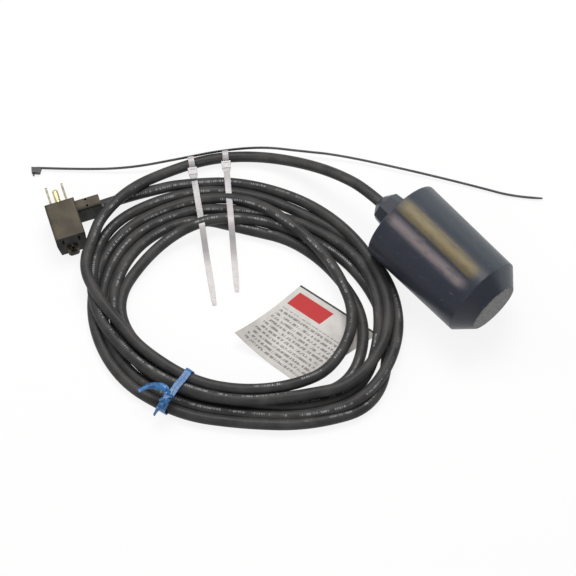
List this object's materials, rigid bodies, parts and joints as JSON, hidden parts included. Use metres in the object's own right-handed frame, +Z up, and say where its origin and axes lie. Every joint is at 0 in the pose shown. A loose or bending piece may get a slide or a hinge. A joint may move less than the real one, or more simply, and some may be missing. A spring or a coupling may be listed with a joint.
{
  "type": "float switch",
  "caption": "Tethered float switch: a sealed black float with a rolling-ball snap switch inside, on a coiled round cord that ends in a piggyback plug.",
  "frame": {"origin": "on the bench, under the middle of the float as it lies on its side", "axes": "+X along the float from its cord end to its flat tip, +Z up from the bench"},
  "size_m": [0.3457, 0.3534, 0.0696],
  "materials": {
    "housing": "moulded, high gloss",
    "seal_rubber": "matt",
    "resin": "cast, glossy",
    "carrier": "moulded",
    "steel": "polished",
    "plated_steel": "plated",
    "switch_black": "moulded",
    "switch_red": "moulded",
    "contact_brass": "bright",
    "wire_black": "soft",
    "wire_white": "soft",
    "cord_rubber": "satin",
    "plug_vinyl": "satin vinyl",
    "blade_nickel": "nickel plated",
    "pin_brass": "bright",
    "tie_white": "translucent nylon",
    "tie_black": "nylon",
    "tie_blue": "soft ribbon",
    "tag_vinyl": "printed vinyl"
  },
  "bodies": {
    "float_and_cord": {"float_shell": "housing", "float_cap": "housing", "cord_seal": "seal_rubber", "resin_plug": "resin", "switch_carrier": "carrier", "track_cap": "carrier", "lever_pin": "plated_steel", "switch_case": "switch_black", "switch_cover": "switch_black", "contact_spring": "contact_brass", "switch_terminals": "contact_brass", "switch_screws": "plated_steel", "wire_black": "wire_black", "wire_white": "wire_white", "cord_lead": "cord_rubber", "cord_coil": "cord_rubber", "cord_tail": "cord_rubber", "plug_body": "plug_vinyl", "line_blade_left": "blade_nickel", "line_blade_right": "blade_nickel", "ground_pin": "pin_brass", "outlet_contact_left": "contact_brass", "outlet_contact_right": "contact_brass", "outlet_ground": "contact_brass", "white_tie_left": "tie_white", "white_tie_right": "tie_white", "black_tie": "tie_black", "coil_tie": "tie_blue", "cord_tag": "tag_vinyl"},
    "ball": {"steel_ball": "steel"},
    "lever": {"ball_lever": "plated_steel"},
    "plunger": {"switch_plunger": "switch_red"}
  },
  "joints": [
    {"name": "ball_roll", "type": "slide", "parent": "float_and_cord", "child": "ball", "axis": [-1, 0, 0], "range_m": [0, 0.024]},
    {"name": "lever_swing", "type": "hinge", "parent": "float_and_cord", "child": "lever", "pos_m": [-0.003, 0, 0.0548], "axis": [0, 1, 0], "range_deg": [0, 7.1]},
    {"name": "plunger_press", "type": "slide", "parent": "float_and_cord", "child": "plunger", "axis": [-1, 0, 0], "range_m": [0, 0.0015]}
  ],
  "couplings": [
    {"joint": "lever_swing", "follows": "ball_roll", "rad_per_m": 5.0905},
    {"joint": "plunger_press", "follows": "ball_roll", "ratio": 0.06093}
  ]
}
